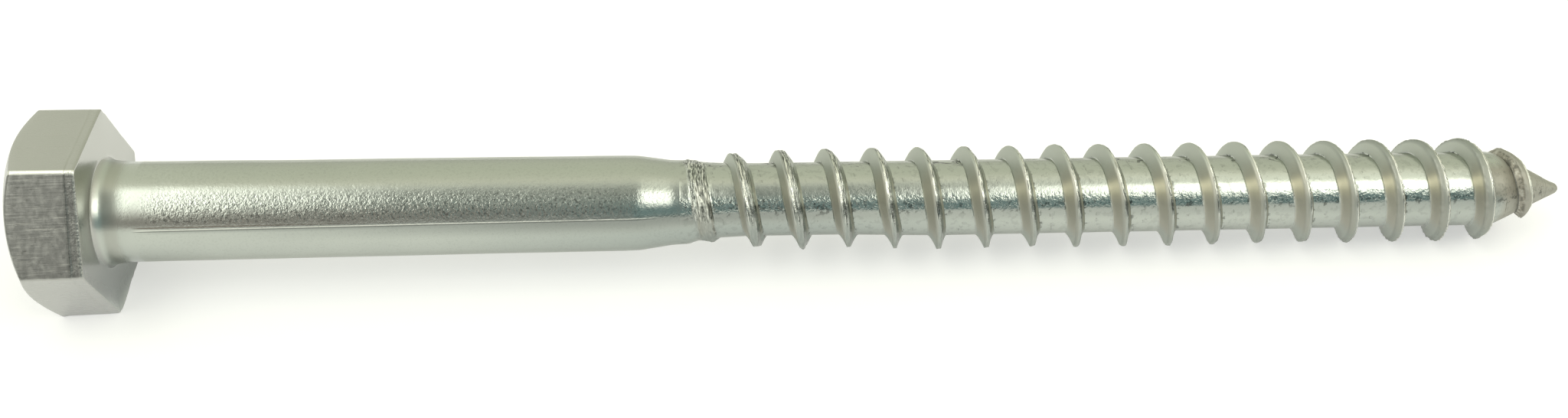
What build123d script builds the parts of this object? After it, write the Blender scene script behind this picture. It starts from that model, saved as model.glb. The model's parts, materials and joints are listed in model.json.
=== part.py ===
from build123d import *
import os
from math import atan, cos, degrees, exp, radians, sin, tan

# Hexagon-head lag screw, thread size 10 mm by 140 mm, one piece of stainless steel.
# All sizes are in millimetres. Stations along the screw are measured from the bearing
# face of the head: positive towards the point, negative into the head.

# ---------------------------------------------------------------- driving sizes
under_head_length = 141.4

# head
across_flats = 17.0
head_height = 6.65
crown_diameter = 16.1          # flat circle that the head's chamfer leaves on top
crown_chamfer_angle = 30

# shank and neck
collar_diameter = 10.5         # where the shank was upset into the head
collar_length = 1.7
shank_diameter = 9.4
shank_length = 49.4
neck_diameter = 8.2
neck_slope_length = 4.0        # from the shank down to the neck
root_slope_length = 4.6        # from the neck down to the thread's root

# thread, right-handed
pitch = 4.5
crest_diameter = 10.0
root_diameter = 7.34
crest_width = 0.72
shoulder_depth = 0.75          # where the flank turns from steep to hollow
shoulder_width = 1.4
foot_width = 2.75              # width of the ridge at the root
ridge_bury = 0.4               # how far the ridge runs on below the root
ridge_lead = 0.1               # the ridge starts this far in front of the neck
rise_length = 3.8              # the crest climbs by two thirds in this length

# point
cone_length = 7.2
point_diameter = 0.9
full_crest_to_point = 8.2      # the crest keeps its full diameter up to here
crest_taper = 0.48             # radius that the crest loses per millimetre after that
ridge_end_to_point = 2.3
run_out_length = 1.9           # the ridge shrinks away in this length
run_out_size = 0.25            # share of the ridge's section left at its buried end
run_out_bury = 0.5

# the screw lies on the edge of one head flat and on this crest, which faces down
rest_crest_to_point = 12.2

sections_per_turn = 14

# ------------------------------------------------------------- dependent sizes
crest_radius = crest_diameter / 2
root_radius = root_diameter / 2
point_radius = point_diameter / 2
ridge_height = crest_radius - root_radius
neck_start = shank_length + neck_slope_length
root_start = neck_start + root_slope_length
cone_start = under_head_length - cone_length
ridge_start = neck_start - ridge_lead
ridge_end = under_head_length - ridge_end_to_point
full_crest_end = under_head_length - full_crest_to_point
rest_crest = under_head_length - rest_crest_to_point
foot_slope = (foot_width - shoulder_width) / 2 / (ridge_height - shoulder_depth)

# ------------------------------------------------------------------- rest pose
# The point dips until that crest meets the surface that the head's lower edge lies on.
rest_tilt = atan((across_flats / 2 - crest_radius) / (rest_crest + crest_width / 2))
towards_point = Vector(cos(rest_tilt), 0, -sin(rest_tilt))
upwards = Vector(sin(rest_tilt), 0, cos(rest_tilt))
sideways = towards_point.cross(upwards)
screw_axis = Axis(origin=(0, 0, 0), direction=towards_point)
lengthwise = Plane(origin=(0, 0, 0), x_dir=towards_point, z_dir=sideways)
bearing_face = Plane(origin=(0, 0, 0), x_dir=upwards, z_dir=-towards_point)


def left_of_ridge(station):
    """How much of the ridge is left: 1, then down to 0 over the run-out."""
    return min(1, (ridge_end - station) / run_out_length)


def core_radius(station):
    """Radius of the threaded core: constant root, then the cone of the point."""
    taper = (root_radius - point_radius) / cone_length
    return root_radius - taper * max(0, station - cone_start)


def ridge_radius(station):
    """Radius of the crest: it climbs out of the neck, tapers, and dives at the point."""
    climbing = root_radius + ridge_height * (1 - exp((ridge_start - station) / rise_length))
    tapering = crest_radius - crest_taper * max(0, station - full_crest_end)
    buried = core_radius(station) - run_out_bury
    return buried + (min(climbing, tapering) - buried) * left_of_ridge(station)


def section_plane(station):
    """Plane through the axis that holds the ridge's section at this station."""
    turn = radians(180 + 360 * (station - rest_crest) / pitch)
    spoke = upwards * cos(turn) + sideways * sin(turn)
    return Plane(origin=towards_point * station, x_dir=spoke, z_dir=spoke.cross(towards_point))


def ridge_section(station):
    """Corners of the ridge's section: flat crest, steep shoulders, hollow feet."""
    share = run_out_size + (1 - run_out_size) * left_of_ridge(station)
    crest = ridge_radius(station)
    shoulder = crest - shoulder_depth * share
    foot = crest - (ridge_height + ridge_bury) * share
    half_crest = crest_width / 2 * share
    half_shoulder = shoulder_width / 2 * share
    half_foot = (foot_width / 2 + foot_slope * ridge_bury) * share
    rising_side = [(foot, -half_foot), (shoulder, -half_shoulder), (crest, -half_crest)]
    falling_side = [(radius, -offset) for radius, offset in reversed(rising_side)]
    return rising_side + falling_side


def one_turn(first, last, spacing):
    """One turn of the ridge, lofted through its sections."""
    with BuildPart() as turn:
        for step in range(first, last + 1):
            station = ridge_start + step * spacing
            with BuildSketch(section_plane(station)):
                with BuildLine():
                    Polyline(*ridge_section(station), close=True)
                make_face()
        loft()
    return turn.part


# ----------------------------------------------------------- turns of the thread
section_steps = round((ridge_end - ridge_start) / pitch * sections_per_turn)
section_spacing = (ridge_end - ridge_start) / section_steps
turns = [
    one_turn(first, min(first + sections_per_turn, section_steps), section_spacing)
    for first in range(0, section_steps, sections_per_turn)
]

# ----------------------------------------------------------------- the screw
with BuildPart() as lag_screw:
    # head: hexagon with one flat down, chamfered round its crown
    with BuildSketch(bearing_face):
        RegularPolygon(across_flats / 2, 6, major_radius=False, rotation=30)
    extrude(amount=head_height)
    chamfer_reach = across_flats / 2
    chamfer_depth = chamfer_reach * tan(radians(crown_chamfer_angle))
    with BuildSketch(lengthwise):
        with BuildLine():
            Polyline(
                (-head_height, crown_diameter / 2),
                (-head_height, crown_diameter / 2 + chamfer_reach),
                (-head_height + chamfer_depth, crown_diameter / 2 + chamfer_reach),
                close=True,
            )
        make_face()
    revolve(axis=screw_axis, mode=Mode.SUBTRACT)

    # shank, neck, threaded core and point: one outline, rooted halfway into the head
    with BuildSketch(lengthwise):
        with BuildLine():
            Polyline(
                (-head_height / 2, 0),
                (-head_height / 2, collar_diameter / 2),
                (0, collar_diameter / 2),
                (collar_length, shank_diameter / 2),
                (shank_length, shank_diameter / 2),
                (neck_start, neck_diameter / 2),
                (root_start, root_radius),
                (cone_start, root_radius),
                (under_head_length, point_radius),
                (under_head_length, 0),
                close=True,
            )
        make_face()
    revolve(axis=screw_axis)

    add(turns)

lag_screw.part.label = "lag_screw"
os.makedirs("parts", exist_ok=True)
export_step(lag_screw.part, "parts/lag_screw.step")
print("rest tilt", round(degrees(rest_tilt), 3), "degrees; volume", round(lag_screw.part.volume, 1), "mm3")
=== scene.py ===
import bpy
import json
import numpy as np
from math import atan2, cos, pi, radians, sin, tan
from mathutils import Matrix, Vector


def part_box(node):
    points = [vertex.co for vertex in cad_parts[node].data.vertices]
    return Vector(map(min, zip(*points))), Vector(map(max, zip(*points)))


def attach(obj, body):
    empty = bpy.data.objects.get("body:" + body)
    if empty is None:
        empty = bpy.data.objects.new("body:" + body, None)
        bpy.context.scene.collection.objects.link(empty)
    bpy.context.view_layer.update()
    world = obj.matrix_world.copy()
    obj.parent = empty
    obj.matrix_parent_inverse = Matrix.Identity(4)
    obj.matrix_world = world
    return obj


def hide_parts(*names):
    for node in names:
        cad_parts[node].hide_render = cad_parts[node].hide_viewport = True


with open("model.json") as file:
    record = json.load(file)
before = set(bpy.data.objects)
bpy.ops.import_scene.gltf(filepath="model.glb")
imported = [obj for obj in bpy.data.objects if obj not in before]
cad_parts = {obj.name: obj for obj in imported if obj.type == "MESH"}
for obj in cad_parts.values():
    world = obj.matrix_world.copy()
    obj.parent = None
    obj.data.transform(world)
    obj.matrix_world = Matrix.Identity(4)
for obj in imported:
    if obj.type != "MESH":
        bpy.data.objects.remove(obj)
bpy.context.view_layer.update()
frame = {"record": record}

# A lag screw lying on a white sheet. Sizes are in millimetres, as in the CAD source, and are
# turned into metres only where a mesh or the camera is placed. A place on the screw is its
# station, measured along the axis from under the head, and its turn about the axis, which is
# 0 at the top and grows towards the near side.
MM = 0.001

# ---- axes at rest
thread_mount = [mount for mount in frame["record"]["mounts"] if mount["name"] == "thread"][0]
TOWARDS_POINT = Vector(thread_mount["axis"]).normalized()
SIDEWAYS = Vector((0.0, -1.0, 0.0))
UPWARDS = SIDEWAYS.cross(TOWARDS_POINT)

# turns in degrees: the side that faces somebody standing before the screw, its upper and lower
# edge for them, the line that it lies on, and the side towards which the head was struck askew
FACING = 52.5
TOP_EDGE = -38
LOW_EDGE = 142
RESTING = 180
ASKEW = 150

# ---- driving sizes of the head
low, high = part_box("lag_screw")
corner_to_corner = (high[1] - low[1]) / MM
flat_radius = corner_to_corner / 2 * cos(radians(30))
head_height = 6.65
crown_radius = 8.05
crown_slope = tan(radians(30))
edge_round = 0.06
corner_round = 0.40
band_width = 0.95
band_depth = 0.035

# of the shank and the whole: stations of the first and last row of the thread, and the length
bead_radius = 5.25
helix_start = 53.9
helix_end = 139.6
under_head_length = 141.4

# of the thread, with the station of the crest that the screw rests on
pitch = 4.5
root_radius = 3.67
crest_radius = 5.0
rest_crest = 129.2
ridge_start = 53.3
rise_length = 3.8
full_crest_end = 132.75
crest_taper = 0.40
ridge_end = 139.2
run_out_length = 1.9
run_out_bury = 0.5
point_droop = 0.13

# points round the screw, and how far they gather towards the head's corners
columns = 156
corner_gather = 0.14


# ---- seeded noise
class Grain:
    """Smooth seeded noise in three directions, between -1 and 1."""

    side = 32

    def __init__(self, seed):
        maker = np.random.default_rng(seed)
        self.table = maker.random((self.side,) * 3) * 2 - 1

    def __call__(self, x, y, z):
        x, y, z = np.broadcast_arrays(x, y, z)
        cells = [np.floor(v).astype(int) for v in (x, y, z)]
        parts = [v - c for v, c in zip((x, y, z), cells)]
        parts = [t * t * (3 - 2 * t) for t in parts]
        total = np.zeros(x.shape)
        for corner in range(8):
            bits = [(corner >> axis) & 1 for axis in range(3)]
            weight = np.ones(x.shape)
            for bit, part in zip(bits, parts):
                weight = weight * (part if bit else 1 - part)
            where = [(c + bit) % self.side for c, bit in zip(cells, bits)]
            total += weight * self.table[where[0], where[1], where[2]]
        return total

    def round_axis(self, station, turn, length, arc, radius=4.5):
        """Noise on the skin of the screw: size of its features along and round the axis."""
        reach = radius / arc
        return self(station / length, reach * np.cos(turn) + 9.3, reach * np.sin(turn) + 5.7)

    def layers(self, station, turn, length, arc, count=3, radius=4.5):
        """The same at several sizes, each half the one before and half as strong."""
        total = 0
        for step in range(count):
            share = 0.5 ** step
            total = total + share * self.round_axis(
                station + 7.1 * step, turn, length * share, arc * share, radius
            )
        return total


def smooth_step(low_end, high_end, value):
    """0 below the first number, 1 above the second, with a soft passage between."""
    t = np.clip((value - low_end) / (high_end - low_end), 0, 1)
    return t * t * (3 - 2 * t)


def between(start, full, fading, end, value):
    """1 from the second number to the third, fading out to the first and the last."""
    return smooth_step(start, full, value) * smooth_step(end, fading, value)


def bell(value, middle, width):
    """1 at the middle, falling away softly on both sides."""
    return np.exp(-(((value - middle) / width) ** 2))


def degrees_away(turn, middle):
    """Degrees from a middle to a turn, the short way round."""
    return (np.degrees(turn) - middle + 180) % 360 - 180


def turn_bell(turn, middle, width):
    """The bell round the axis, with the middle and the width in degrees."""
    return bell(degrees_away(turn, middle), 0, width)


def soft_profile(points, blur):
    """A radius for each station, through these points with their corners eased."""
    stations = np.linspace(-10, 150, 16001)
    radii = np.interp(stations, [p[0] for p in points], [p[1] for p in points])
    reach = np.arange(-3 * blur, 3 * blur, 0.01)
    weights = np.exp(-((reach / blur) ** 2))
    padded = np.pad(radii, len(reach), mode="edge")
    eased = np.convolve(padded, weights / weights.sum(), mode="same")[len(reach):-len(reach)]
    return lambda station: np.interp(station, stations, eased)


# ---- laws of the form
shank_law = soft_profile(
    [(3.4, 4.75), (6, 4.73), (15, 4.70), (26, 4.66), (35, 4.63), (44, 4.61), (48.5, 4.60),
     (49.9, 4.57), (50.3, 4.53), (53.15, 4.11), (53.7, 4.08), (60, 4.08)], blur=0.2
)
core_law = soft_profile(
    [(50, 4.08), (54.6, 4.06), (56.6, 3.81), (58.5, 3.715), (61, 3.66),
     (90, 3.66), (134.2, 3.65), (136.1, 2.83), (138.2, 1.86), (139.6, 1.17), (141.2, 0.50)], blur=0.25
)

waves = Grain(3)
strands = Grain(11)
nicks = Grain(17)
pebbles = Grain(29)


def shank_radius(station, turn):
    """The plain shank and the slope of the neck, faintly wavy as rolled stock is."""
    wavy = 0.022 * waves.round_axis(station, turn, 9, 5) + 0.008 * waves.round_axis(station, turn, 2.2, 1.6)
    return shank_law(station) + wavy * smooth_step(2.5, 5, station)


def quieter_below(turn, share):
    """1, less this share low down on the near side, where torn metal was pressed flatter."""
    return 1 - share * turn_bell(turn, 122, 42)


def torn_ring(station, turn):
    """Height of the torn ring where the rolling dies bit first, and how torn it is."""
    middle = 55.95 + 0.55 * np.sin(turn - radians(FACING))
    across = (station - middle) / 0.95
    band = np.clip(1.25 - across ** 4, 0, 1)
    twist = turn + 0.22 * waves.round_axis(station, turn, 1.4, 3)
    strand = strands(station / 0.27 + 0.8 * np.sin(twist * 3), 3.2 * np.cos(twist), 3.2 * np.sin(twist))
    broken = nicks.round_axis(station, turn, 0.35, 0.55)
    lip = 0.17 * bell(station, middle - 0.45, 0.42) * (0.55 + 0.45 * waves.round_axis(station, turn, 3, 3.5))
    torn = quieter_below(turn, 0.75) * (0.085 * strand + 0.05 * broken)
    return band * (lip + torn), band


def crest_law(station):
    """Radius of the crest: it climbs out of the neck, tapers, and dives at the point."""
    height = crest_radius - root_radius
    climbing = root_radius + height * (1 - np.exp((ridge_start - station) / rise_length))
    tapering = crest_radius - crest_taper * np.maximum(0, station - full_crest_end)
    left = np.clip((ridge_end - station) / run_out_length, 0, 1)
    buried = core_law(station) - run_out_bury
    return buried + (np.minimum(climbing, tapering) - buried) * left


# the ridge's section at a few stations along the thread
section_at = [56, 64, 76, 108, 124, 134, 139]
crest_half_head_side = [0.42, 0.36, 0.17, 0.20, 0.34, 0.52, 0.5]
crest_half_point_side = [0.75, 0.66, 0.30, 0.24, 0.36, 0.42, 0.4]
foot_half_head_side = [0.92, 0.95, 1.02, 1.10, 1.18, 1.22, 1.2]
foot_half_point_side = [1.12, 1.02, 0.84, 0.82, 0.92, 0.86, 0.85]
seam_from = [-0.22, -0.16, -0.05, 0.04, 0.12, 0.16, 0.1]
seam_to = [0.86, 0.80, 0.56, 0.42, 0.34, 0.34, 0.4]
seam_depth = [0.13, 0.11, 0.07, 0.045, 0.025, 0.02, 0.02]

# burrs on the crest, and pieces broken out of it: station, turn in degrees, height, size
burrs = [
    (61.4, 142, -0.14, 0.9), (65.8, 145, 0.17, 0.22), (70.3, 142, -0.20, 0.7), (74.8, 143, -0.04, 0.5),
    (88.3, 142, -0.10, 0.6), (92.6, 142, 0.13, 0.35), (97.3, 139, 0.10, 0.3), (101.9, 142, 0.15, 0.35),
    (106.3, 142, 0.10, 0.4), (110.8, 141, 0.05, 0.4), (119.8, 141, 0.18, 0.45), (124.5, 143, 0.20, 0.5),
    (128.7, 138, 0.18, 0.45), (133.1, 140, 0.17, 0.5), (61.5, -38, 0.12, 0.9), (135.4, -38, 0.16, 0.8),
]


def ridge_stray(crest, turn):
    """How far the ridge lies from its true helix, towards the point."""
    below = turn_bell(turn, LOW_EDGE, 60)
    above = turn_bell(turn, TOP_EDGE, 70)
    stray = 0.07 * waves.round_axis(crest + 40, turn, 5, 2.6)
    stray = stray + 0.22 * smooth_step(116, 121, crest) * (0.5 + 0.5 * np.cos(turn + radians(37)))
    stray = stray + 0.11 * above * between(66, 72, 84, 96, crest)
    stray = stray + 0.18 * below * between(121, 123.5, 126, 129, crest)
    stray = stray - below * (0.25 * bell(crest, 79.1, 1.6) + 0.18 * bell(crest, 92.6, 1.6))
    return stray + 0.20 * smooth_step(133.0, 137.0, crest)


def ridge_section(crest, turn):
    """Half widths of the ridge at its crest and foot, on the head's side and the point's."""
    rows = (crest_half_head_side, crest_half_point_side, foot_half_head_side, foot_half_point_side)
    widths = [np.interp(crest, section_at, row) for row in rows]
    above = turn_bell(turn, TOP_EDGE, 70)
    slim = 0.6 * smooth_step(80, 72, crest) + 0.12 * smooth_step(110, 122, crest)
    swell = 1 - slim * turn_bell(turn, LOW_EDGE, 50) - 0.45 * above
    swell = swell * (1 + 0.09 * waves.round_axis(crest + 40, turn, 4, 2.2))
    wide_foot = 0.25 * above * smooth_step(112, 90, crest)
    return widths[0] * swell, widths[1] * swell, widths[2] - 0.34 * above, widths[3] + wide_foot


def ridge_shape(crest, across, turn):
    """Height of the ridge's section, from 0 at its feet to 1 along its crest."""
    heads, points, head_foot, point_foot = ridge_section(crest, turn)
    half_crest = np.where(across < 0, heads, points)
    half_foot = np.where(across < 0, head_foot, point_foot)
    fall = np.clip((np.abs(across) - half_crest) / (half_foot - half_crest), 0, 1)
    below = turn_bell(turn, LOW_EDGE, 45)
    above = turn_bell(turn, TOP_EDGE, 55)
    hollow = np.where(across < 0, 1.32 + 0.2 * below - 0.72 * above, 1.06 + 0.6 * below - 0.28 * above)
    crown = np.clip(np.abs(across) / half_crest, 0, 1)
    late = smooth_step(112, 130, crest)
    return (1 - fall) ** hollow - (0.02 + 0.07 * late) * crown ** 2 * (fall <= 0)


def thread_core(station, turn):
    """Radius of the roots, a little lower on the underside of the first turns."""
    core = core_law(station) + 0.010 * waves.layers(station, turn, 2.4, 2.4)
    return core - 0.26 * turn_bell(turn, LOW_EDGE, 55) * between(54.6, 56.0, 67, 80, station)


def torn_seam(station, crest, across, turn):
    """Where the crest is torn, and how far the torn metal stands up or is sunk there."""
    start, end, deep = (np.interp(crest, section_at, row) for row in (seam_from, seam_to, seam_depth))
    seam = smooth_step(-0.07, 0.07, across - start) * smooth_step(-0.07, 0.07, end - across)
    strand = strands(across / 0.2 + 0.5 * np.sin(5 * turn + station), 2.6 * np.cos(turn) + station / 5,
                     2.6 * np.sin(turn))
    broken = nicks.round_axis(station, turn, 0.32, 0.5)
    torn = deep * (quieter_below(turn, 0.7) * (0.75 * strand + 0.5 * broken) - 0.35)
    crack = bell(across + 0.05 * np.sin(7 * turn), 0.5 * (start + end) - 0.05, 0.075)
    crack = crack * smooth_step(-0.2, 0.3, waves.round_axis(station + 11, turn, 3, 2.2))
    return seam, torn - 1.3 * deep * crack


def burr_height(station, turn):
    """Height of the burrs that stand out of the crest, or are broken out of it."""
    height = 0
    for where, turned, tall, wide in burrs:
        away = np.hypot(station - where, crest_radius * np.radians(degrees_away(turn, turned)))
        height = height + tall * bell(away, 0, wide)
    return height


def fold_depth(station, across, turn):
    """Depth of the lap where the metal folded behind the last turn."""
    fold = bell(across, -0.62, 0.17) + 0.8 * bell(across, -1.02, 0.15)
    lump = 1 + 0.8 * pebbles.round_axis(station, turn, 0.4, 0.42, 3.5)
    return 0.11 * fold * lump * between(134.2, 135.4, 138.0, 139.0, station)


def threaded_radius(station, turn, offset):
    """Core, torn ring and ridge together, and masks of the ridge's own parts."""
    crest = station - offset
    across = offset - ridge_stray(crest, turn)
    shape = ridge_shape(crest, across, turn)
    grown = smooth_step(54.8, 58.6, station)
    clear = 1 - turn_bell(turn, RESTING, 16)
    height = (crest_law(station) - core_law(station)) * grown
    height = height * (1 + 0.035 * clear * waves.round_axis(station, turn, 3.1, 4.2))
    seam, tear = torn_seam(station, crest, across, turn)
    seam = seam * smooth_step(0.25, 0.6, shape) * grown * smooth_step(139, 137.5, station)
    ridge = np.maximum(height, -0.4) * shape + seam * tear
    ridge = ridge + clear * burr_height(station, turn) * smooth_step(0.3, 0.8, shape)
    ridge = ridge - fold_depth(station, across, turn)

    ring_height, ring = torn_ring(station, turn)
    sunk = np.minimum(ridge, 0) * smooth_step(0, 0.05, height)
    radius = thread_core(station, turn) + np.maximum(ridge, 0) + ring_height + sunk
    masks = [shape * grown, seam, np.clip(ring, 0, 1), np.clip(across, -1.5, 1.5)]
    return np.maximum(radius, 0.3), masks


# ---- the skin, row by row
even_turns = 2 * pi * np.arange(columns) / columns
gathered_turns = even_turns + corner_gather * np.sin(6 * even_turns)


def from_flat(turn):
    """Turn from the middle of the nearest flat, up to 30 degrees either way."""
    return (turn + pi / 6) % (pi / 3) - pi / 6


def hexagon_radius(turn):
    """Distance from the axis to the head's flats, with rounded corners."""
    from_corner = pi / 6 - np.abs(from_flat(turn))
    centre = (flat_radius - corner_round) / cos(pi / 6)
    inside = np.maximum(corner_round ** 2 - (centre * np.sin(from_corner)) ** 2, 0)
    rounded = centre * np.cos(from_corner) + np.sqrt(inside)
    round_end = atan2(corner_round / 2, centre + corner_round * cos(pi / 6))
    return np.where(from_corner < round_end, rounded, flat_radius / np.cos(from_flat(turn)))


def crown_lean(turn, share=1.0):
    """How far the crown sits back: it was struck a little out of square."""
    out_of_square = 0.32 * np.cos(turn - radians(ASKEW)) + 0.20 * turn_bell(turn, ASKEW, 35)
    return 0.10 + out_of_square * share


def rim_lean(turn):
    """The same for the rim of the head's underside."""
    return 0.12 + 0.20 * np.cos(turn - radians(ASKEW)) + 0.20 * turn_bell(turn, ASKEW, 30)


def upset(station, turn):
    """How much wider the head came out towards its crown, low on the near side."""
    return 0.25 * turn_bell(turn, 125, 55) * np.clip(-station / head_height, 0, 1)


def rim_wear(turn):
    """How rough the rim's band is: most of all on the near flat."""
    return 0.25 + 0.75 * turn_bell(turn, 60, 38)


class Skin:
    """Rows of points round the screw's axis, each row with its masks."""

    def __init__(self):
        self.rows = []

    def row(self, station, radius, turn, band=0.0):
        """Adds one closed row. Single numbers are the same all the way round."""
        values = (station, radius, turn, band) + (0.0,) * (len(MeshMaker.masks) - 1)
        spread = [np.broadcast_to(np.asarray(value, float), (columns,)) for value in values]
        self.rows.append(np.stack(spread, axis=1))


def chamfer_station(radius, turn):
    """Station of the crown's chamfer at a distance from the axis."""
    return -head_height + crown_lean(turn) + (radius - crown_radius) * crown_slope


def crown_rows(skin):
    """The top of the head: a flat round face and the chamfer down to the flats."""
    turn = gathered_turns
    reach = hexagon_radius(turn) + upset(-head_height, turn)
    for share in (0.12, 0.3, 0.5, 0.7, 0.85, 0.95):
        skin.row(-head_height + crown_lean(turn, share), crown_radius * share, turn)
    top = -head_height + crown_lean(turn)
    skin.row(top, crown_radius - 2 * edge_round, turn)
    skin.row(top + 0.3 * edge_round, crown_radius + 0.2 * edge_round, turn)
    for share in (0.15, 0.4, 0.7, 0.9):
        radius = crown_radius + (reach - crown_radius) * share
        skin.row(chamfer_station(radius, turn), radius, turn)


def rim_chips(turn):
    """Small chips along the head's lower rim, coarser at the corners and low on the far side."""
    chip = nicks.round_axis(0.3, turn, 1, 0.7, 9) + 0.6 * nicks.round_axis(0.8, turn, 1, 0.3, 9)
    corner = np.abs(from_flat(turn)) / (pi / 6)
    coarse = 0.03 + 0.10 * corner ** 6 + 0.13 * turn_bell(turn, 172, 22)
    return np.clip(chip, 0, 1) * coarse


def flat_rows(skin):
    """The six flats, with the rough band that the trimming die left along the rim."""
    turn = gathered_turns
    reach = hexagon_radius(turn)
    wide = reach + upset(-head_height, turn)
    start = chamfer_station(wide, turn)
    skin.row(start + edge_round, wide - 0.25 * edge_round, turn)
    skin.row(start + 3 * edge_round, wide, turn)
    ragged = 0.05 * nicks.round_axis(0.0, turn, 1, 0.6, 9) + 0.04 * waves.round_axis(0.5, turn, 1, 2, 9)
    rim = rim_lean(turn)
    border = rim - band_width + ragged
    top = start + 4 * edge_round
    for share in np.linspace(0, 1, 12)[1:]:
        station = top + (border - 0.06 - top) * share
        rolled = 0.006 * waves.round_axis(station, turn, 3, 0.9, 9)
        skin.row(station, reach + upset(station, turn) + rolled, turn)
    worn = rim_wear(turn)
    for share in (0.0, 0.08, 0.22, 0.38, 0.54, 0.70, 0.84):
        station = border + (rim - edge_round - border) * share
        sunk = min(1.0, share / 0.08)
        rough = nicks.round_axis(station, turn, 0.3, 0.42, 9)
        rough = rough + 0.6 * nicks.round_axis(station, turn, 0.15, 0.2, 9)
        drop = band_depth * worn * sunk * (0.8 + 0.55 * rough) + rim_chips(turn) * share ** 3
        skin.row(station, reach - drop, turn, band=sunk * worn)
    chips = rim_chips(turn)
    edge = reach - band_depth * worn - 0.5 * edge_round - chips
    skin.row(rim - 0.3 * edge_round - 0.5 * chips, edge, turn, band=worn)


def bearing_rows(skin):
    """The flat underside of the head, in to the bead round the shank."""
    reach = hexagon_radius(gathered_turns) - band_depth * rim_wear(gathered_turns)
    reach = reach - 1.6 * edge_round - rim_chips(gathered_turns)
    inner = bead_radius + 0.18
    rim = rim_lean(gathered_turns)
    for share in (0.0, 0.03, 0.1, 0.25, 0.42, 0.6, 0.78, 0.92, 1.0):
        turn = gathered_turns + (even_turns - gathered_turns) * share
        radius = reach + (inner - reach) * share
        skin.row(rim * (1 - share) ** 2, radius, turn, band=max(0.0, 1 - share / 0.03) * 0.4)


def bead_rows(skin):
    """The bead left by upsetting the head, and the hollow down to the shank."""
    turn = even_turns
    profile = [(0.02, 5.345), (0.06, 5.285), (0.11, 5.235), (0.17, 5.19), (0.25, 5.14), (0.34, 5.09),
               (0.43, 5.048), (0.53, 5.006), (0.64, 4.967), (0.76, 4.937), (0.92, 4.906), (1.15, 4.872),
               (1.45, 4.832), (1.8, 4.792), (2.2, 4.764), (2.8, 4.755), (3.5, 4.75)]
    for station, radius in profile:
        soft = 0.02 * waves.round_axis(station, turn, 4, 4, 5) * smooth_step(0, 0.4, station)
        skin.row(station, radius + soft, turn)


def shank_rows(skin):
    """The plain shank and the slope down to the neck."""
    turn = even_turns
    for station in np.concatenate([np.linspace(4.1, 48.6, 74), np.linspace(49.0, helix_start, 14)]):
        skin.row(station, shank_radius(station, turn), turn)


# how far along its stretch of the ridge's section each row of a turn lies
ROOT_BEFORE, HEAD_FLANK, CREST, POINT_FLANK, ROOT_AFTER = range(5)
stretch_rows = {
    ROOT_BEFORE: (0.30, 0.62, 0.90),
    HEAD_FLANK: (0.0, 0.16, 0.34, 0.52, 0.70, 0.87),
    CREST: (0.0, 0.2, 0.4, 0.6, 0.8),
    POINT_FLANK: (0.0, 0.16, 0.36, 0.56, 0.78),
    ROOT_AFTER: (0.0, 0.13, 0.40, 0.70, 1.0),
}
row_plan = [(stretch, part) for stretch, parts in stretch_rows.items() for part in parts]
rows_per_turn = len(row_plan)

# turns of the helix, counted from the crest that the screw rests on
first_turn = -17
last_turn = 3


def thread_grid():
    """Rows that follow the helix: stations, offsets from the crest and turns, as arrays."""
    share = np.arange(columns) / columns
    layers = []
    for turn_number in range(first_turn, last_turn + 1):
        crest = rest_crest - pitch / 2 + pitch * (turn_number + share)
        heads, points, head_foot, point_foot = ridge_section(crest, even_turns)
        half = np.full(columns, pitch / 2)
        stray = ridge_stray(crest, even_turns)
        edges = [-half, stray - head_foot, stray - heads, stray + points, stray + point_foot, half]
        for stretch, part in row_plan:
            layers.append(crest + edges[stretch] + (edges[stretch + 1] - edges[stretch]) * part)
    stations = np.stack(layers)
    snap = 0.05
    stations = np.where(stations < helix_start + snap, helix_start, stations)
    stations = np.where(stations > helix_end - snap, helix_end, stations)
    turns = np.broadcast_to(even_turns, stations.shape)
    crest = rest_crest - pitch / 2 + pitch * share[None, :]
    offsets = (stations - crest + pitch / 2) % pitch - pitch / 2
    return stations, offsets, turns


def point_rows(skin):
    """The last of the cone, blunt and slightly bent."""
    turn = even_turns
    for station, radius in ((139.85, 1.05), (140.1, 0.94), (140.4, 0.80), (140.7, 0.66), (140.95, 0.55),
                            (141.12, 0.46), (141.25, 0.36), (141.34, 0.24), (141.38, 0.12)):
        skin.row(station, radius + 0.02 * nicks.round_axis(station, turn, 0.5, 0.4, 0.8), turn)


def place(stations, radii, turns):
    """Points in metres for stations, radii and turns about the screw's axis."""
    axis, up, side = (np.array(v) for v in (TOWARDS_POINT, UPWARDS, SIDEWAYS))
    low_side = radians(FACING + 90)
    droop = point_droop * smooth_step(136.5, 141.0, stations)
    out_up = radii * np.cos(turns) + droop * cos(low_side)
    out_side = radii * np.sin(turns) + droop * sin(low_side)
    return MM * (stations[..., None] * axis + out_up[..., None] * up + out_side[..., None] * side)


class MeshMaker:
    """Collects points and faces of the closed skin, with a mask value for each point."""

    masks = ("band", "ridge", "torn", "ring", "across")

    def __init__(self):
        self.points = []
        self.values = []
        self.faces = []
        self.kinds = []
        self.creases = []
        self.count = 0

    def add(self, points, values):
        """Adds points and returns the number of each."""
        shape = points.shape[:-1]
        numbers = self.count + np.arange(int(np.prod(shape))).reshape(shape)
        self.points.append(points.reshape(-1, 3))
        self.values.append(values.reshape(-1, len(self.masks)))
        self.count += numbers.size
        return numbers

    def quads(self, before, after, kind):
        """Joins one closed row to the next."""
        following = np.roll(before, -1), np.roll(after, -1)
        self.faces.extend(zip(before.tolist(), following[0].tolist(), following[1].tolist(), after.tolist()))
        self.kinds.extend([kind] * len(before))

    def fan(self, middle, ring, kind, outward):
        """Closes a row with triangles to one point."""
        for a, b in zip(ring.tolist(), np.roll(ring, -1).tolist()):
            self.faces.append((middle, a, b) if outward else (middle, b, a))
            self.kinds.append(kind)


HEAD, BEARING, SHANK, THREAD = range(4)


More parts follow.
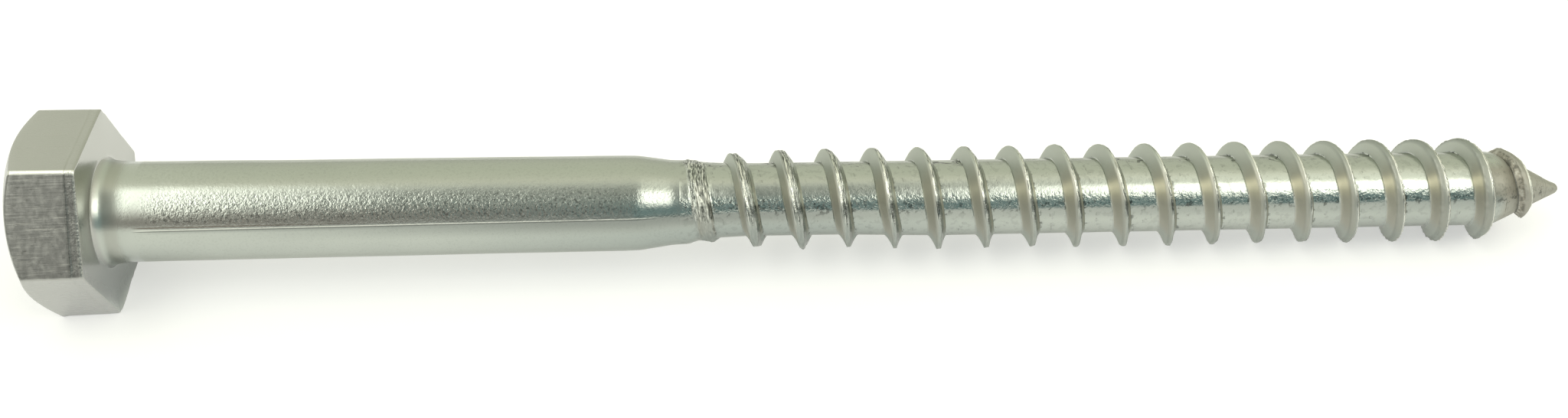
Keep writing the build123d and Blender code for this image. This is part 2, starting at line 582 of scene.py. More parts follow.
def add_rows(maker, builder, previous, kind):
    """Adds the rows of one part of the skin, joined to the row before them."""
    skin = Skin()
    builder(skin)
    for row in skin.rows:
        numbers = maker.add(place(row[:, 0], row[:, 1], row[:, 2]), row[:, 3:])
        if previous is not None:
            maker.quads(previous, numbers, kind)
        previous = numbers
    return previous


def add_thread(maker, previous):
    """Adds the helical rows; each column's clamped ends close onto the straight rows."""
    stations, offsets, turns = thread_grid()
    radii, masks = threaded_radius(stations, turns, offsets)
    at_start = stations <= helix_start
    radii = np.where(at_start, shank_radius(helix_start, turns), radii)
    values = np.stack([np.zeros(radii.shape)] + [np.where(at_start, 0, mask) for mask in masks], axis=-1)
    numbers = maker.add(place(stations, radii, turns), values)
    count = len(numbers)
    wrapped = numbers[np.minimum(np.arange(count) + rows_per_turn, count - 1), 0]
    following = np.concatenate([numbers[:, 1:], wrapped[:, None]], axis=1)
    for k in range(count - 1):
        if row_plan[k % rows_per_turn] in ((HEAD_FLANK, 0.0), (ROOT_AFTER, 0.0)):
            maker.creases.append(np.stack([numbers[k], following[k]], axis=1))
        for a, b, c, d in zip(numbers[k], following[k], following[k + 1], numbers[k + 1]):
            maker.faces.append((int(a), int(b), int(c), int(d)))
            maker.kinds.append(THREAD)
    maker.quads(previous, numbers[0], SHANK)
    return numbers[-1]


def tidy_faces(maker):
    """Merges points that share a place and drops the faces that this closes up."""
    points = np.concatenate(maker.points)
    values = np.concatenate(maker.values)
    keys = np.round(points / (MM * 0.0005)).astype(np.int64)
    unused, first, inverse = np.unique(keys, axis=0, return_index=True, return_inverse=True)
    inverse = inverse.reshape(-1)
    faces, kinds = [], []
    for face, kind in zip(maker.faces, maker.kinds):
        corners = [int(inverse[n]) for n in face]
        kept = [c for i, c in enumerate(corners) if c != corners[i - 1]]
        if len(kept) >= 3 and len(set(kept)) == len(kept):
            faces.append(kept)
            kinds.append(kind)
    creases = np.sort(inverse[np.concatenate(maker.creases)], axis=1)
    return points[first], values[first], faces, kinds, creases


def mark_creases(mesh, creases):
    """Keeps the shading apart on both sides of the ridge's feet."""
    ends = np.zeros(2 * len(mesh.edges), dtype=np.int64)
    mesh.edges.foreach_get("vertices", ends)
    ends = np.sort(ends.reshape(-1, 2), axis=1)
    many = len(mesh.vertices)
    sharp = np.isin(ends[:, 0] * many + ends[:, 1], creases[:, 0] * many + creases[:, 1])
    mesh.edges.foreach_set("use_edge_sharp", sharp)


def add_axis_point(maker, station):
    """Adds one point on the axis."""
    spot = place(np.array([station]), np.array([0.0]), np.array([0.0]))
    return int(maker.add(spot, np.zeros((1, len(maker.masks))))[0])


def closed_skin():
    """Rows of every part of the screw, joined from the crown to the point."""
    maker = MeshMaker()
    middle = add_axis_point(maker, -head_height)
    start = maker.count
    last = add_rows(maker, crown_rows, None, HEAD)
    maker.fan(middle, np.arange(start, start + columns), HEAD, outward=False)
    last = add_rows(maker, flat_rows, last, HEAD)
    last = add_rows(maker, bearing_rows, last, BEARING)
    last = add_rows(maker, bead_rows, last, BEARING)
    last = add_rows(maker, shank_rows, last, SHANK)
    last = add_thread(maker, last)
    last = add_rows(maker, point_rows, last, THREAD)
    maker.fan(add_axis_point(maker, under_head_length), last, THREAD, outward=True)
    return maker


def build_screw():
    """The whole screw as one closed mesh, with nothing below the sheet that it lies on."""
    points, values, faces, kinds, creases = tidy_faces(closed_skin())
    points[:, 2] = np.maximum(points[:, 2], low[2])
    mesh = bpy.data.meshes.new("screw_skin")
    mesh.from_pydata(points.tolist(), [], faces)
    mesh.polygons.foreach_set("material_index", np.array(kinds, dtype=np.int32))
    mesh.shade_smooth()
    mark_creases(mesh, creases)
    for number, name in enumerate(MeshMaker.masks):
        layer = mesh.attributes.new(name, "FLOAT", "POINT")
        layer.data.foreach_set("value", values[:, number].astype(np.float32))
    mesh.update()
    screw = bpy.data.objects.new("screw_skin", mesh)
    bpy.context.scene.collection.objects.link(screw)
    return screw

# ---- node expressions
class Value:
    """A node's output that can be used in sums and products; each one adds a Math node."""

    def __init__(self, board, socket):
        self.board = board
        self.socket = socket

    def __add__(self, other):
        return self.board.math("ADD", self, other)

    def __radd__(self, other):
        return self.board.math("ADD", other, self)

    def __sub__(self, other):
        return self.board.math("SUBTRACT", self, other)

    def __rsub__(self, other):
        return self.board.math("SUBTRACT", other, self)

    def __mul__(self, other):
        return self.board.math("MULTIPLY", self, other)

    def __rmul__(self, other):
        return self.board.math("MULTIPLY", other, self)

    def __truediv__(self, other):
        return self.board.math("DIVIDE", self, other)

    def __abs__(self):
        return self.board.math("ABSOLUTE", self)


class Board:
    """A node tree with short ways to add nodes."""

    def __init__(self, tree):
        self.tree = tree
        tree.nodes.clear()

    def feed(self, socket, value):
        """Links or sets one input."""
        if isinstance(value, Value):
            self.tree.links.new(value.socket, socket)
        else:
            socket.default_value = value

    def node(self, kind, inputs=None, output=0, **settings):
        """Adds a node, sets it, feeds its inputs and returns one output."""
        made = self.tree.nodes.new(kind)
        for name, value in settings.items():
            setattr(made, name, value)
        for name, value in (inputs or {}).items():
            self.feed(made.inputs[name], value)
        return Value(self, made.outputs[output]) if len(made.outputs) else made

    def math(self, operation, a, b=0.0):
        """One Math node."""
        return self.node("ShaderNodeMath", {0: a, 1: b}, operation=operation)

    def least(self, a, b):
        return self.math("MINIMUM", a, b)

    def most(self, a, b):
        return self.math("MAXIMUM", a, b)

    def step(self, start, full, value):
        """0 before the first number, 1 past the second, soft between."""
        return self.node(
            "ShaderNodeMapRange",
            {"Value": value, "From Min": start, "From Max": full},
            interpolation_type="SMOOTHSTEP",
        )

    def between(self, start, full, fading, end, value):
        """1 from the second number to the third, fading out to the first and the last."""
        return self.step(start, full, value) * self.step(end, fading, value)

    def near(self, value, edge, core):
        """1 where a value is within the core of nought, 0 past the edge."""
        return self.step(edge, core, abs(value))

    def dot(self, place, direction):
        """How far a place lies along a direction."""
        inputs = {0: place, 1: tuple(direction)}
        return self.node("ShaderNodeVectorMath", inputs, output="Value", operation="DOT_PRODUCT")

    def stretch(self, place, scales):
        """The place with each direction scaled."""
        return self.node("ShaderNodeVectorMath", {0: place, 1: scales}, operation="MULTIPLY")

    def noise(self, place, scale, detail=2.0, roughness=0.5, distortion=0.0):
        inputs = {"Vector": place, "Scale": scale, "Detail": detail}
        inputs.update({"Roughness": roughness, "Distortion": distortion})
        return self.node("ShaderNodeTexNoise", inputs)

    def mask(self, name):
        """One of the values kept on the mesh's points."""
        return self.node("ShaderNodeAttribute", output="Fac", attribute_name=name)

    def combine(self, x, y, z):
        """A place made of three values."""
        return self.node("ShaderNodeCombineXYZ", {"X": x, "Y": y, "Z": z})

    def split(self, place):
        """A place's first, second and third value."""
        made = self.tree.nodes.new("ShaderNodeSeparateXYZ")
        self.feed(made.inputs[0], place)
        return [Value(self, out) for out in made.outputs]

    def mix(self, share, a, b):
        """From colour a to colour b; a share past 0 or 1 counts as 0 or 1."""
        made = self.tree.nodes.new("ShaderNodeMix")
        made.data_type = "RGBA"
        self.feed(made.inputs[0], share)
        self.feed(made.inputs[6], a)
        self.feed(made.inputs[7], b)
        return Value(self, made.outputs[2])

    def ladder(self, share, stops):
        """A colour for each share, through the given stops."""
        made = self.tree.nodes.new("ShaderNodeValToRGB")
        self.feed(made.inputs[0], share)
        elements = made.color_ramp.elements
        while len(elements) < len(stops):
            elements.new(0.5)
        for element, (position, colour) in zip(elements, stops):
            element.position = position
            element.color = (*colour, 1.0)
        return Value(self, made.outputs[0])

    def bump(self, height, distance, under=None):
        """Relief with this height, in metres at a height of one."""
        inputs = {"Height": height, "Distance": distance, "Strength": 1.0}
        if under is not None:
            inputs["Normal"] = under
        return self.node("ShaderNodeBump", inputs)


class Where:
    """Place on the screw: in metres, and as station in millimetres and turn in radians."""

    def __init__(self, board):
        self.board = board
        self.place = board.node("ShaderNodeTexCoord", output="Object")
        self.up = board.dot(self.place, UPWARDS)
        self.side = board.dot(self.place, SIDEWAYS)
        self.turn = board.math("ARCTAN2", self.side, self.up)
        self.station = board.dot(self.place, TOWARDS_POINT) / MM

    def along(self, start, full):
        """0 before one station, 1 past the other."""
        return self.board.step(start, full, self.station)

    def span(self, start, full, fading, end):
        """1 between the two middle stations, fading out to the outer ones."""
        return self.board.between(start, full, fading, end, self.station)

    def turned(self, start, full):
        """0 before one turn, 1 past the other, in degrees."""
        return self.board.step(radians(start), radians(full), self.turn)

    def sector(self, start, full, fading, end):
        """1 between the two middle turns, fading out to the outer ones, in degrees."""
        return self.board.between(radians(start), radians(full), radians(fading), radians(end), self.turn)

    def noise(self, scale, detail=2.0, roughness=0.5):
        """Even noise, with this many features in a metre."""
        return self.board.noise(self.place, scale, detail, roughness)

    def streaks(self, along, across, detail=2.0, roughness=0.5, distortion=0.0):
        """Noise with one number of features in a metre along the screw, another across it."""
        stretched = self.board.stretch(self.place, (along, across, across))
        return self.board.noise(stretched, 1.0, detail, roughness, distortion)


# ---- stainless steel
PALE_STEEL = (0.505, 0.535, 0.490, 1.0)
DULL_STEEL = (0.440, 0.465, 0.430, 1.0)
# painted shade, for the lower half and the late roots
PAINTED_SHADE_STEEL = (0.335, 0.375, 0.355, 1.0)
SHADED_STEEL = (0.260, 0.280, 0.262, 1.0)
HEAD_STEEL = (0.467, 0.473, 0.446, 1.0)
HEAD_SHADE = (0.410, 0.415, 0.395, 1.0)
WORN_STEEL = (0.232, 0.236, 0.226, 1.0)
FLANK_STEEL = (0.480, 0.465, 0.400, 1.0)
SUNNY_STEEL = (0.780, 0.750, 0.590, 1.0)
GLOWING_STEEL = (0.98, 0.94, 0.79, 1.0)
CONE_STEEL = (0.400, 0.385, 0.335, 1.0)
# matt tone of the pebbly fold, also used as painted shade in the bead's hollow and on the last root
MATT_AND_SHADE_STEEL = (0.300, 0.285, 0.240, 1.0)
# painted shade beside the groove
BROWN_SHADE_PAINT = (0.150, 0.115, 0.090, 1.0)
# painted highlights, and pale streaks on the near flat
HIGHLIGHT_AND_PALE_STEEL = (0.82, 0.83, 0.76, 1.0)
# dark marks, and painted shade lines and flecks
DARK_MARK_AND_SHADE = (0.075, 0.080, 0.072, 1.0)

# what the steel's edge-on sheen is multiplied by
HEAD_SHEEN = (1.0, 1.0, 1.0, 1.0)
ROUND_SHEEN = (0.80, 0.80, 0.77, 1.0)


def new_steel(name):
    """An empty material, its board and the place on the screw."""
    material = bpy.data.materials.new(name)
    material.use_nodes = True
    board = Board(material.node_tree)
    return material, board, Where(board)


def finish_steel(board, colour, roughness, normal, sheen):
    """The metal shader itself."""
    inputs = {"Base Color": colour, "Roughness": roughness, "Metallic": 1.0}
    inputs.update({"Specular Tint": sheen, "Normal": normal})
    board.node("ShaderNodeOutputMaterial", {"Surface": board.node("ShaderNodeBsdfPrincipled", inputs)})


def painted_shade_below(where):
    """Painted shade on the screw's lower half, strongest about the neck."""
    return 0.7 * where.turned(74, 96) * where.span(26.0, 58.0, 60.0, 96.0)


def shaded_side(where):
    """Painted shade: a darker belt along the near side, low down, that fades towards the head."""
    return where.sector(66, 72, 76, 96) * where.along(2.0, 46.0) * (1.0 - 0.4 * where.along(60.0, 74.0))


def far_top_shade(where):
    """Painted shade: a darker strip along the top of the far side."""
    return 0.9 * where.sector(-100, -70, -38, -12)


def head_steel():
    """Drawn and trimmed steel: fine streaks along the axis, a rough band at the rim."""
    material, board, where = new_steel("head_steel")
    near_way = UPWARDS * cos(radians(60)) + SIDEWAYS * sin(radians(60))
    on_flat = board.step(flat_radius - 0.38, flat_radius - 0.20, board.dot(where.place, near_way) / MM)
    near_flat = where.sector(29.0, 32.0, 88.0, 91.0) * on_flat
    rough_band = where.along(-1.0, -0.9) * near_flat
    streaks = where.streaks(150.0, 4200.0, 3.0, 0.65)
    dashes = where.streaks(700.0, 4200.0, 2.0, 0.6)
    blocks = where.streaks(2300.0, 1500.0)
    cloud = where.noise(260.0)
    grit = where.noise(4200.0, 2.0, 0.6)
    pits = board.step(0.60, 0.72, where.streaks(1500.0, 2600.0, 3.0, 0.65))
    dark_lines = board.step(0.54, 0.68, streaks)
    pale_lines = board.step(0.40, 0.30, streaks) * where.along(-0.80, -0.95)
    seam = board.near(where.station + 0.86 + 0.16 * grit, 0.15, 0.05) * near_flat
    corner = board.near(where.turn - radians(30.4), radians(1.5), radians(0.7)) * on_flat
    chips = where.along(-0.26, -0.12) * board.step(0.44, 0.56, grit) * near_flat
    worn = near_flat * (0.84 + 1.5 * (blocks - 0.5))
    spots = 0.04 * pits + near_flat * (0.34 * pits + 0.24 * dark_lines) + 0.36 * seam
    spots = spots + rough_band * (0.16 + 0.26 * board.step(0.45, 0.65, grit))
    colour = board.mix(0.45 * cloud + 0.15 * dashes, HEAD_STEEL, HEAD_SHADE)
    colour = board.mix(worn, colour, WORN_STEEL)
    colour = board.mix(0.30 * near_flat * pale_lines, colour, HIGHLIGHT_AND_PALE_STEEL)
    colour = board.mix(board.least(spots, 0.8), colour, DARK_MARK_AND_SHADE)
    # Painted highlights: a bright line along the corner between the top flat and the near flat, and on chips
    # at the rim.
    colour = board.mix(0.7 * corner + 0.28 * chips, colour, HIGHLIGHT_AND_PALE_STEEL)
    roughness = 0.25 + 0.06 * streaks + 0.10 * near_flat
    normal = board.bump(streaks + 0.5 * dashes, 0.000010 + 0.000008 * near_flat)
    normal = board.bump(grit * (0.3 + 1.2 * rough_band), 0.000022, under=normal)
    finish_steel(board, colour, roughness, normal, HEAD_SHEEN)
    return material


def bearing_steel():
    """The smooth underside of the head, the bead and the hollow beside it."""
    material, board, where = new_steel("bearing_steel")
    cloud = where.noise(160.0, 3.0)
    grit = where.noise(3800.0, 2.0, 0.6)
    low_shade = board.step(0.002, -0.006, where.up) * where.along(1.2, 0.2)
    off_rim = board.step(0.30, 0.10, board.mask("band"))
    on_shank = where.along(0.2, 0.6)
    colour = board.mix(0.5 * cloud, HEAD_STEEL, HEAD_SHADE)
    # painted shade on the lower part of the head's underside
    colour = board.mix(0.82 * low_shade * off_rim, colour, SHADED_STEEL)
    colour = board.mix(on_shank, colour, board.mix(0.6 * cloud, PALE_STEEL, DULL_STEEL))
    # painted shade along the far top
    colour = board.mix(far_top_shade(where) * on_shank, colour, SHADED_STEEL)
    # painted shade in the hollow beside the bead
    colour = board.mix(0.30 * where.span(0.75, 1.15, 1.7, 2.5), colour, MATT_AND_SHADE_STEEL)
    roughness = 0.20 + 0.06 * cloud + 0.05 * where.span(0.0, 0.15, 1.6, 3.4)
    finish_steel(board, colour, roughness, board.bump(grit, 0.000007), HEAD_SHEEN)
    return material


def groove_line(where):
    """How far round from the shank's fine groove, which wanders a little, in radians."""
    straight = where.turn - radians(75.6) + radians(0.07) * where.station
    return straight + 0.006 * where.streaks(120.0, 0.0) - 0.003


def shank_steel():
    """Rolled stock: small crinkled flakes, and the painted highlight and shade lines of one fine groove
    along the shank.
    """
    material, board, where = new_steel("shank_steel")
    cloud = where.noise(160.0, 3.0)
    patches = where.noise(1200.0)
    flakes = where.noise(3600.0, 2.0, 0.6)
    specks = where.noise(7000.0, 1.0)
    crinkled = where.sector(27, 46, 64, 70) * where.span(3.4, 6.5, 44.0, 56.0)
    # Pits everywhere, far more in the crinkled band, where they and the glints are painted flecks of shade
    # and highlight.
    pits = board.step(0.53, 0.63, where.noise(4300.0, 2.0, 0.6)) * (0.12 + 0.88 * crinkled)
    glints = board.step(0.60, 0.70, where.noise(5200.0, 1.0)) * crinkled
    groove = groove_line(where)
    ends = where.span(3.2, 4.4, 50.0, 52.5)
    shaded = board.between(-0.075, -0.040, 0.010, 0.10, groove) * where.span(3.4, 6.5, 16.0, 40.0)
    # Painted lines of the groove, which is not in the shape: brown and dark painted shade either side of a
    # painted highlight.
    groove_brown_shade = board.near(groove + 0.062, 0.020, 0.006) * ends * where.along(34.0, 10.0)
    groove_highlight = board.near(groove + 0.010, 0.014, 0.005) * ends
    shade_line = board.near(groove - 0.016, 0.015, 0.005) * ends
    colour = board.mix(0.6 * cloud, PALE_STEEL, DULL_STEEL)
    # Painted shade: on the lower half, in a low belt on the near side and a band beside the groove, and
    # along the far top.
    colour = board.mix(painted_shade_below(where), colour, PAINTED_SHADE_STEEL)
    colour = board.mix(0.95 * shaded_side(where) + 0.5 * shaded, colour, SHADED_STEEL)
    colour = board.mix(far_top_shade(where), colour, SHADED_STEEL)
    colour = board.mix(0.7 * groove_brown_shade, colour, BROWN_SHADE_PAINT)
    colour = board.mix(0.55 * pits + 0.5 * shade_line, colour, DARK_MARK_AND_SHADE)
    colour = board.mix(0.7 * groove_highlight + 0.35 * glints, colour, HIGHLIGHT_AND_PALE_STEEL)
    roughness = 0.17 + 0.03 * where.along(8.0, 3.4) + 0.06 * cloud
    away = where.along(3.4, 7.0)
    normal = board.bump(flakes + 0.4 * specks, 0.000034 * (0.28 * away + 0.55 * crinkled))
    normal = board.bump(patches, 0.000010 * away, under=normal)
    finish_steel(board, colour, roughness, normal, ROUND_SHEEN)
    return material


class ThreadParts:
    """Masks of the thread's own parts, and the noise that several of its marks share."""

    def __init__(self, board, where):
        self.ridge = board.mask("ridge")
        self.torn = board.mask("torn")
        self.ring = board.mask("ring")
        self.across = board.mask("across")
        self.whole = 1.0 - self.torn
        self.flank = board.step(0.03, 0.12, self.ridge)
        self.root = 1.0 - self.flank
        self.late = where.along(108.0, 124.0)
        self.cone = where.along(133.6, 135.0)
        self.last_root = where.span(131.6, 132.6, 136.0, 137.4) * self.root * where.sector(4, 26, 60, 80)
        self.matt = board.most(self.flank * self.whole, board.most(self.cone, self.last_root))
        self.crinkled = where.sector(43, 54, 64, 72)
        self.loud = 1.0 - 0.88 * where.turned(68, 86)
        self.cloud = where.noise(240.0, 3.0)
        self.blots = where.noise(1700.0, 2.0, 0.6)
        self.specks = where.noise(7000.0, 1.0)
        x, y, z = board.split(where.place)
        fibre_place = board.combine(13.0 * self.across + 250.0 * x, 800.0 * y, 800.0 * z)
        coil_place = board.combine(6500.0 * x + 900.0 * z, 1300.0 * y, 1300.0 * z)
        self.fibres = board.noise(fibre_place, 1.0, 2.0, 0.6)
        self.coils = board.noise(coil_place, 1.0, 2.0, 0.6)


def thread_laps(board, where, parts):
    """Dark laps in the roots, high on the far side and low on the near side."""
    line = board.near(where.streaks(430.0, 1300.0, 2.0, 0.55, 0.5) - 0.5, 0.030, 0.010)
    places = board.step(0.50, 0.56, where.streaks(330.0, 420.0, 1.0))
    high_up = board.near(where.turn + radians(24.0), 0.45, 0.15)
    low_down = board.near(where.turn - radians(155.0), 0.3, 0.1)
    return line * places * board.least(high_up + low_down, 1.0) * parts.root


def foot_spots(board, where, parts):
    """Dark spots along the ridge's feet, and in a belt of the roots."""
    feet = board.near(parts.across - 0.92, 0.18, 0.06) + 0.6 * board.near(parts.across - 0.55, 0.10, 0.04)
    belt = where.sector(58, 66, 72, 80) * parts.root
    return feet * board.step(0.54, 0.62, parts.blots) + belt * board.step(0.56, 0.64, parts.blots)


def sheer_marks(board, where, parts):
    """A few dark marks in the roots, high on the far side."""
    places = board.step(0.50, 0.54, where.streaks(520.0, 90.0, 0.0))
    return where.sector(-46, -41, -30, -24) * board.step(1.15, 1.35, parts.across) * places


def root_pits(board, where, parts):
    """Pits on the crinkled side, partly painted flecks of shade where the highlight breaks up, more of them
    early on, and faint worn spots on top.
    """
    pits = board.step(0.58, 0.66, where.noise(4300.0, 2.0, 0.6)) * parts.crinkled
    pits = pits * (1.0 + where.along(80.0, 62.0))
    worn_spots = board.step(0.52, 0.62, parts.blots) * where.turned(-34, 0)
    return (0.4 * pits + 0.12 * worn_spots) * parts.root


def torn_marks(board, parts):
    """Dark crevices, and painted glints on the strands where the metal is torn."""
    crevices = board.step(0.49, 0.40, parts.fibres) * parts.torn * (1.0 - 0.7 * parts.late)
    crevices = crevices + board.step(0.50, 0.40, parts.coils) * parts.ring
    tatters = board.step(0.54, 0.62, parts.fibres) * parts.torn
    tatters = tatters + board.step(0.54, 0.62, parts.coils) * parts.ring
    return crevices * parts.loud, tatters * parts.loud


def crest_marks(board, where, parts):
    """The seam's dark dashes and painted sparkle, and a painted shade line and painted highlight line along
    the late crests.
    """
    seam_edge = parts.across - 0.05 - 0.0016 * board.most(where.station - 70.0, 0.0)
    sparkle = board.near(seam_edge, 0.13, 0.05) * where.sector(-20, 2, 50, 66)
    sparkle = sparkle * board.step(0.40, 0.48, parts.fibres) * parts.flank
    dashes = board.near(seam_edge - 0.20, 0.10, 0.04) * where.sector(34, 48, 78, 90)
    dashes = dashes * board.step(0.44, 0.50, parts.specks) * parts.flank
    late_crest = parts.late * parts.flank
    # painted shade just past the late crests' point-side edge, and a painted highlight line on the crest
    # beside it
    shade_line = board.near(parts.across - 0.50, 0.10, 0.04) * late_crest
    crest_highlight_line = board.near(parts.across - 0.30, 0.10, 0.03) * late_crest
    return 0.8 * dashes + 0.6 * shade_line, sparkle + 0.9 * crest_highlight_line


def thread_tones(board, where, parts):
    """Broad tones: painted shade below and along the far top, painted highlights on the lit flanks, dark on
    torn metal.
    """
    colour = board.mix(0.6 * parts.cloud, PALE_STEEL, DULL_STEEL)
    # painted shade on the lower half and in a low belt of the roots on the near side
    colour = board.mix(painted_shade_below(where), colour, PAINTED_SHADE_STEEL)
    colour = board.mix(0.9 * shaded_side(where) * parts.root, colour, SHADED_STEEL)
    brownish = parts.flank * parts.whole * where.sector(5, 40, 95, 120)
    colour = board.mix(0.8 * brownish, colour, FLANK_STEEL)
    lit = where.sector(26, 45, 47, 66) * where.along(74.0, 100.0) * parts.flank * parts.whole
    lit = lit * (1.0 - parts.cone) * board.step(0.97, 0.80, parts.ridge)
    colour = board.mix(0.6 * lit, colour, SUNNY_STEEL)
    colour = board.mix(0.75 * where.sector(28, 40, 41, 55) * lit, colour, GLOWING_STEEL)
    colour = board.mix(0.5 * board.most(parts.torn, parts.ring), colour, SHADED_STEEL)
    colour = board.mix(0.55 * parts.late * board.step(0.66, 0.88, parts.ridge), colour, SHADED_STEEL)
    # painted shade over the lower edge of the late roots' highlight
    colour = board.mix(0.25 * parts.late * parts.root * where.turned(44, 62), colour, PAINTED_SHADE_STEEL)
    # painted shade on the crests low on the near side
    low_crest_shade = board.step(0.80, 0.93, parts.ridge) * (1.0 - parts.late) * where.sector(50, 66, 120, 150)
    colour = board.mix(0.55 * low_crest_shade * parts.whole, colour, SHADED_STEEL)
    # painted shade along the far top of the roots
    return board.mix(far_top_shade(where) * parts.root, colour, SHADED_STEEL)


def point_tones(board, where, parts, colour):
    """The matt cone, painted shade on the last root's near side, and the pebbly fold behind the last turn
    with painted highlights on its pebbles.
    """
    colour = board.mix(0.75 * parts.cone, colour, CONE_STEEL)
    # painted shade on the last root's near side
    colour = board.mix(0.85 * parts.last_root, colour, MATT_AND_SHADE_STEEL)
    pebbly = board.near(parts.across + 0.80, 0.34, 0.16) * where.span(134.0, 135.0, 138.8, 139.4)
    colour = board.mix(0.7 * pebbly, colour, MATT_AND_SHADE_STEEL)
    colour = board.mix(0.5 * pebbly * board.step(0.50, 0.60, parts.blots), colour, DARK_MARK_AND_SHADE)
    # painted highlights on the pebbles
    return board.mix(0.3 * pebbly * board.step(0.44, 0.36, parts.blots), colour, HIGHLIGHT_AND_PALE_STEEL)


def thread_relief(board, where, parts, laps):
    """Flakes and patches in the roots, strands of torn metal, and the sunken laps."""
    flakes = where.noise(3300.0, 2.0, 0.6)
    patches = where.noise(1500.0, 2.0, 0.55)
    coiled = board.least(1.3 * parts.ring + 0.35 * parts.cone, 1.0)
    tatters = parts.fibres * parts.torn + parts.coils * coiled
    normal = board.bump(flakes * (1.0 - 0.8 * parts.matt) + 0.3 * parts.specks,
                        0.000008 + 0.000030 * parts.crinkled)
    normal = board.bump(patches, 0.000012 + 0.000026 * parts.crinkled * (1.0 - parts.matt), under=normal)
    normal = board.bump(tatters, 0.00012 * parts.loud, under=normal)
    return board.bump(1.0 - laps, 0.00005, under=normal)


def thread_steel():
    """Rolled thread: bright roots, matt flanks, torn seams on the crest and a few dark laps."""
    material, board, where = new_steel("thread_steel")
    parts = ThreadParts(board, where)
    laps = thread_laps(board, where, parts)
    crevices, torn_gleam = torn_marks(board, parts)
    dashes, sparkle = crest_marks(board, where, parts)
    fold_line = board.near(parts.across + 1.08, 0.13, 0.04) * where.along(133.6, 134.6)
    dark = 0.95 * laps + 0.85 * crevices + dashes + 0.5 * foot_spots(board, where, parts)
    dark = dark + 0.7 * fold_line + 0.75 * sheer_marks(board, where, parts) + root_pits(board, where, parts)
    colour = point_tones(board, where, parts, thread_tones(board, where, parts))
    colour = board.mix(board.least(dark, 0.9), colour, DARK_MARK_AND_SHADE)
    # painted highlights: glints on the torn strands and coils, and sparkle along the seam
    colour = board.mix(0.8 * torn_gleam + sparkle, colour, HIGHLIGHT_AND_PALE_STEEL)
    roughness = 0.14 + 0.05 * parts.cloud + 0.33 * parts.matt + 0.06 * parts.specks
    finish_steel(board, colour, roughness, thread_relief(board, where, parts, laps), ROUND_SHEEN)
    return material


# ---- table and light
PAPER = (0.62, 0.62, 0.62, 1.0)
paper_lift = 0.42
paper_reach = 3000


def floor_paper():
    """White paper: what the eye and the metal see of it is as white as the sheet itself."""
    material = bpy.data.materials.new("floor_paper")
    material.use_nodes = True
    board = Board(material.node_tree)
    seen = board.node("ShaderNodeLightPath", output="Is Camera Ray")
    rays = seen.socket.node.outputs
    straight = seen + Value(board, rays["Is Glossy Ray"]) + Value(board, rays["Is Transmission Ray"])
    paper = board.node("ShaderNodeBsdfDiffuse", {"Color": PAPER})
    glow = {"Color": (1.0, 1.0, 1.0, 1.0), "Strength": paper_lift * board.least(straight, 1.0)}
    lift = board.node("ShaderNodeEmission", glow)
    both = board.node("ShaderNodeAddShader", {0: paper, 1: lift})
    board.node("ShaderNodeOutputMaterial", {"Surface": both})
    return material


def build_floor():
    """A wide sheet of white paper under the screw."""
    half = paper_reach * MM
    corners = [(x * half, y * half, low[2]) for x, y in ((-1, -1), (1, -1), (1, 1), (-1, 1))]
    mesh = bpy.data.meshes.new("floor")
    mesh.from_pydata(corners, [], [(0, 1, 2, 3)])
    mesh.materials.append(floor_paper())
    floor = bpy.data.objects.new("floor", mesh)
    bpy.context.scene.collection.objects.link(floor)


# light that comes from each height over the table: 0 is the near edge, 1 the far edge
ROOM_LADDER = [
    (0.000, (0.50, 0.49, 0.46)), (0.040, (0.36, 0.36, 0.335)), (0.100, (0.27, 0.27, 0.250)),
    (0.160, (0.25, 0.26, 0.24)), (0.230, (0.28, 0.31, 0.28)), (0.300, (0.29, 0.32, 0.29)),
    (0.360, (0.34, 0.36, 0.32)), (0.420, (0.50, 0.52, 0.46)), (0.470, (0.78, 0.79, 0.68)),
    (0.530, (0.95, 0.94, 0.77)), (0.610, (0.86, 0.87, 0.70)), (0.700, (0.82, 0.84, 0.67)),
    (0.870, (0.80, 0.82, 0.67)), (1.000, (0.72, 0.73, 0.64)),
]
BROWN_WALL = (0.38, 0.32, 0.28, 1.0)
TEAL_WALL = (0.20, 0.32, 0.325, 1.0)
FAR_WALL = (1.15, 1.16, 1.02, 1.0)
RIGHT_GLOW = (1.9, 1.9, 1.6, 1.0)
END_WALLS = (0.80, 0.80, 0.68, 1.0)
SOFT_BOX = (3.2, 3.2, 2.9, 1.0)


def soft_boxes(board, along, height):
    """The two long soft boxes, the left one leaning."""
    left_low = 0.31 - 0.11 * board.step(-0.24, -0.38, along)
    left_box = board.between(-0.75, -0.60, -0.31, -0.21, along) * board.step(0.56, 0.46, height)
    left_box = left_box * board.step(left_low - 0.16, left_low + 0.08, height)
    right_box = board.between(0.15, 0.25, 0.70, 0.85, along) * board.between(0.13, 0.24, 0.34, 0.41, height)
    return left_box + right_box


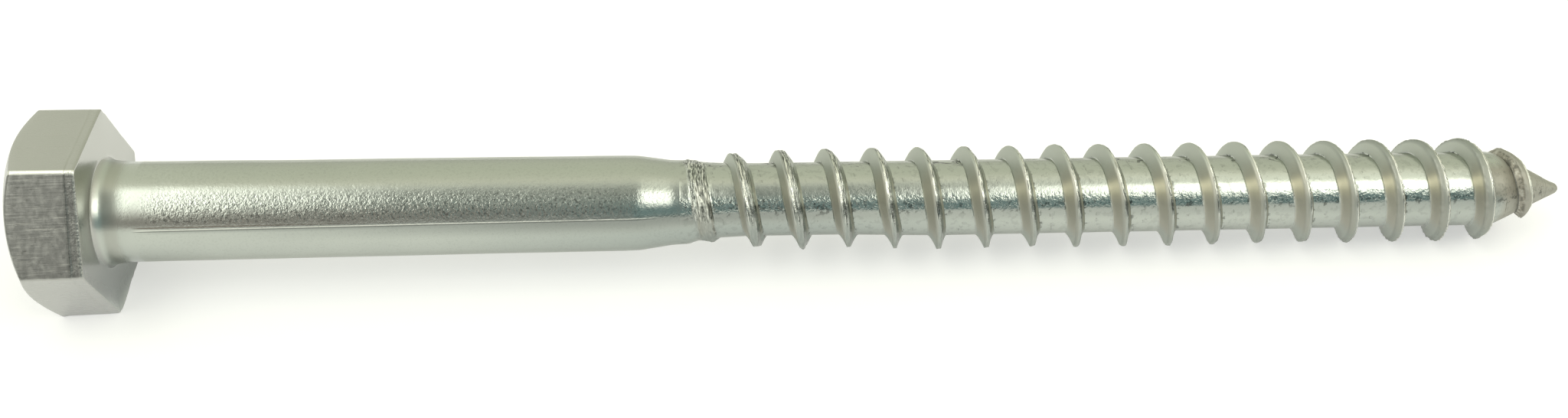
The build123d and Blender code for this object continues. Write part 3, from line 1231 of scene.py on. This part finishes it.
def studio_world():
    """A pale room with two long soft boxes, left and right of the camera's own shade."""
    world = bpy.data.worlds.new("studio")
    bpy.context.scene.world = world
    world.use_nodes = True
    board = Board(world.node_tree)
    way = board.node("ShaderNodeTexCoord", output="Generated")
    along = board.dot(way, TOWARDS_POINT)
    height = board.math("ARCTAN2", board.dot(way, UPWARDS), board.dot(way, SIDEWAYS)) / pi
    low_down = board.step(0.30, 0.18, height)
    brown = board.between(-0.40, -0.33, -0.24, -0.12, along) * low_down
    teal = board.between(-0.06, 0.05, 0.55, 0.75, along) * low_down
    far_left = board.step(-0.27, -0.34, along) * board.step(0.4, 0.6, height)
    right_glow = board.step(0.08, 0.34, along) * board.between(0.28, 0.38, 0.40, 0.66, height)
    room = board.mix(0.8 * brown, board.ladder(height, ROOM_LADDER), BROWN_WALL)
    room = board.mix(0.85 * teal, room, TEAL_WALL)
    room = board.mix(0.5 * far_left, room, FAR_WALL)
    room = board.mix(0.65 * right_glow, room, RIGHT_GLOW)
    room = board.mix(0.7 * board.step(0.62, 0.85, abs(along)), room, END_WALLS)
    room = board.mix(soft_boxes(board, along, height), room, SOFT_BOX)
    background = board.node("ShaderNodeBackground", {"Color": room, "Strength": 1.0})
    board.node("ShaderNodeOutputWorld", {"Surface": background})


# ---- camera
camera_station = 53.917
camera_distance = 161.07
camera_height_angle = radians(37.49)
camera_turn = -0.0626
camera_roll = 0.0175
camera_tip = -0.0052
film_width = 36.0
lens_length = 38.18303


def build_camera():
    """The camera beside the shank, looking down on the screw."""
    towards_camera = SIDEWAYS * cos(camera_height_angle) + UPWARDS * sin(camera_height_angle)
    upright = UPWARDS * cos(camera_height_angle) - SIDEWAYS * sin(camera_height_angle)
    base = Matrix((TOWARDS_POINT, -towards_camera, upright)).transposed()
    turned = Matrix.Rotation(camera_turn, 3, "Z") @ Matrix.Rotation(camera_roll, 3, "Y")
    turned = turned @ Matrix.Rotation(camera_tip, 3, "X")
    right, ahead, over = (base @ turned).col
    data = bpy.data.cameras.new("camera")
    data.sensor_fit = "HORIZONTAL"
    data.sensor_width = film_width
    data.lens = lens_length
    data.clip_start = 0.005
    data.clip_end = 20.0
    camera = bpy.data.objects.new("camera", data)
    camera.matrix_world = Matrix((right, over, -ahead)).transposed().to_4x4()
    camera.location = MM * (camera_station * TOWARDS_POINT + camera_distance * towards_camera)
    bpy.context.scene.collection.objects.link(camera)
    bpy.context.scene.camera = camera


# ---- the scene
screw = build_screw()
for material in (head_steel(), bearing_steel(), shank_steel(), thread_steel()):
    screw.data.materials.append(material)
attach(screw, "root")
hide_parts("lag_screw")
build_floor()
studio_world()
build_camera()
bpy.context.scene.view_settings.view_transform = "Standard"
